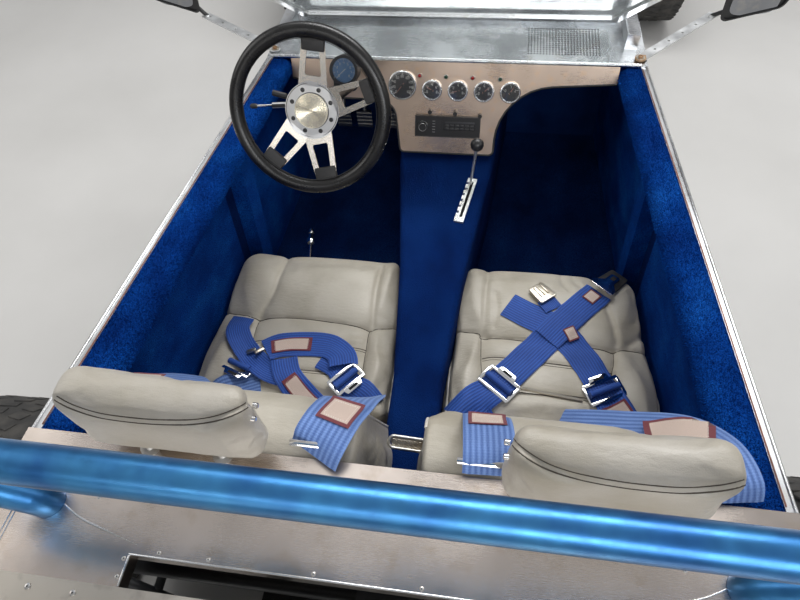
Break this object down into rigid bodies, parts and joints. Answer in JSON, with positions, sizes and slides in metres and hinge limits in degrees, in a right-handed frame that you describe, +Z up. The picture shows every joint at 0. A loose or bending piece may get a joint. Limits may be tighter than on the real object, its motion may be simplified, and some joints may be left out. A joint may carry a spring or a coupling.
{
  "type": "open two-seat roadster",
  "caption": "Open two-seat roadster with a folded aluminium body, roll hoop, raked screen, bucket seats and open wheels; steering, bonnet and wheels move.",
  "frame": {"origin": "on the ground under the middle of the overall length, on the centre line", "axes": "+X to the car's right, +Y forward, +Z up"},
  "size_m": [1.961, 3.8999, 1.073],
  "materials": {
    "body_aluminium": "brushed, hazed",
    "frame_paint": "satin",
    "carpet": "cut pile",
    "floor_carpet": "cut pile",
    "screen_alloy": "satin",
    "screen_glass": "clear",
    "hoop_paint": "metallic gloss",
    "black_metal": "satin",
    "black_plastic": "satin",
    "chrome_trim": "polished",
    "steel": "brushed",
    "seat_vinyl": "silver grey grained",
    "iron": "rough",
    "lamp_red": "clear red",
    "grip_rubber": "satin",
    "tyre_rubber": "matt",
    "rim_alloy": "satin"
  },
  "bodies": {
    "car_body": {"chassis_frame": "frame_paint", "floor_pan": "floor_carpet", "body_side_left": "body_aluminium", "body_side_right": "body_aluminium", "tunnel_console": "carpet", "bulkheads": "body_aluminium", "cowl_panel": "body_aluminium", "rear_deck": "body_aluminium", "rear_cover": "body_aluminium", "rear_panel": "body_aluminium", "nose_panel": "body_aluminium", "radiator": "black_metal", "windscreen_frame": "screen_alloy", "windscreen_glass": "screen_glass", "mirrors": "black_plastic", "roll_hoop": "hoop_paint", "dashboard": "body_aluminium", "instruments": "chrome_trim", "steering_column": "frame_paint", "shift_lever": "steel", "pedals": "steel", "side_trim_left": "carpet", "side_trim_right": "carpet", "driver_cushion": "seat_vinyl", "driver_backrest": "seat_vinyl", "passenger_cushion": "seat_vinyl", "passenger_backrest": "seat_vinyl", "headrests": "seat_vinyl", "engine_block": "iron", "exhaust": "steel", "front_suspension": "frame_paint", "rear_axle": "iron", "headlamps": "chrome_trim", "tail_lamps": "lamp_red"},
    "bonnet_lid": {"bonnet": "body_aluminium"},
    "hand_wheel": {"steering_wheel": "grip_rubber"},
    "rack_bar": {"steering_rack": "steel"},
    "left_knuckle": {"knuckle_left": "iron"},
    "right_knuckle": {"knuckle_right": "iron"},
    "front_left_wheel": {"front_left_tyre": "tyre_rubber", "front_left_rim": "rim_alloy"},
    "front_right_wheel": {"front_right_tyre": "tyre_rubber", "front_right_rim": "rim_alloy"},
    "rear_left_wheel": {"rear_left_tyre": "tyre_rubber", "rear_left_rim": "rim_alloy"},
    "rear_right_wheel": {"rear_right_tyre": "tyre_rubber", "rear_right_rim": "rim_alloy"}
  },
  "joints": [
    {"name": "bonnet_hinge", "type": "hinge", "parent": "car_body", "child": "bonnet_lid", "pos_m": [0, 1.855, 0.57866], "axis": [-1, 0, 0], "range_deg": [0, 60]},
    {"name": "steer_left", "type": "hinge", "parent": "car_body", "child": "left_knuckle", "pos_m": [-0.79, 1.57, 0.31], "axis": [0, 0, 1], "range_deg": [-30, 30]},
    {"name": "steer_right", "type": "hinge", "parent": "car_body", "child": "right_knuckle", "pos_m": [0.79, 1.57, 0.31], "axis": [0, 0, 1], "range_deg": [-30, 30]},
    {"name": "rack_slide", "type": "slide", "parent": "car_body", "child": "rack_bar", "axis": [1, 0, 0], "range_m": [-0.0525, 0.0525]},
    {"name": "hand_wheel_turn", "type": "hinge", "parent": "car_body", "child": "hand_wheel", "pos_m": [-0.288, -0.465, 0.846], "axis": [0, -0.898, 0.4399], "range_deg": [-450.5, 450.5]},
    {"name": "front_left_spin", "type": "hinge", "parent": "left_knuckle", "child": "front_left_wheel", "pos_m": [-0.868, 1.57, 0.31], "axis": [1, 0, 0], "continuous": true},
    {"name": "rear_left_spin", "type": "hinge", "parent": "car_body", "child": "rear_left_wheel", "pos_m": [-0.832, -1.36, 0.33], "axis": [1, 0, 0], "continuous": true},
    {"name": "front_right_spin", "type": "hinge", "parent": "right_knuckle", "child": "front_right_wheel", "pos_m": [0.868, 1.57, 0.31], "axis": [1, 0, 0], "continuous": true},
    {"name": "rear_right_spin", "type": "hinge", "parent": "car_body", "child": "rear_right_wheel", "pos_m": [0.832, -1.36, 0.33], "axis": [1, 0, 0], "continuous": true}
  ],
  "couplings": [
    {"joint": "steer_right", "follows": "steer_left", "ratio": 1},
    {"joint": "rack_slide", "follows": "steer_left", "m_per_rad": 0.1},
    {"joint": "hand_wheel_turn", "follows": "steer_left", "ratio": 15}
  ]
}
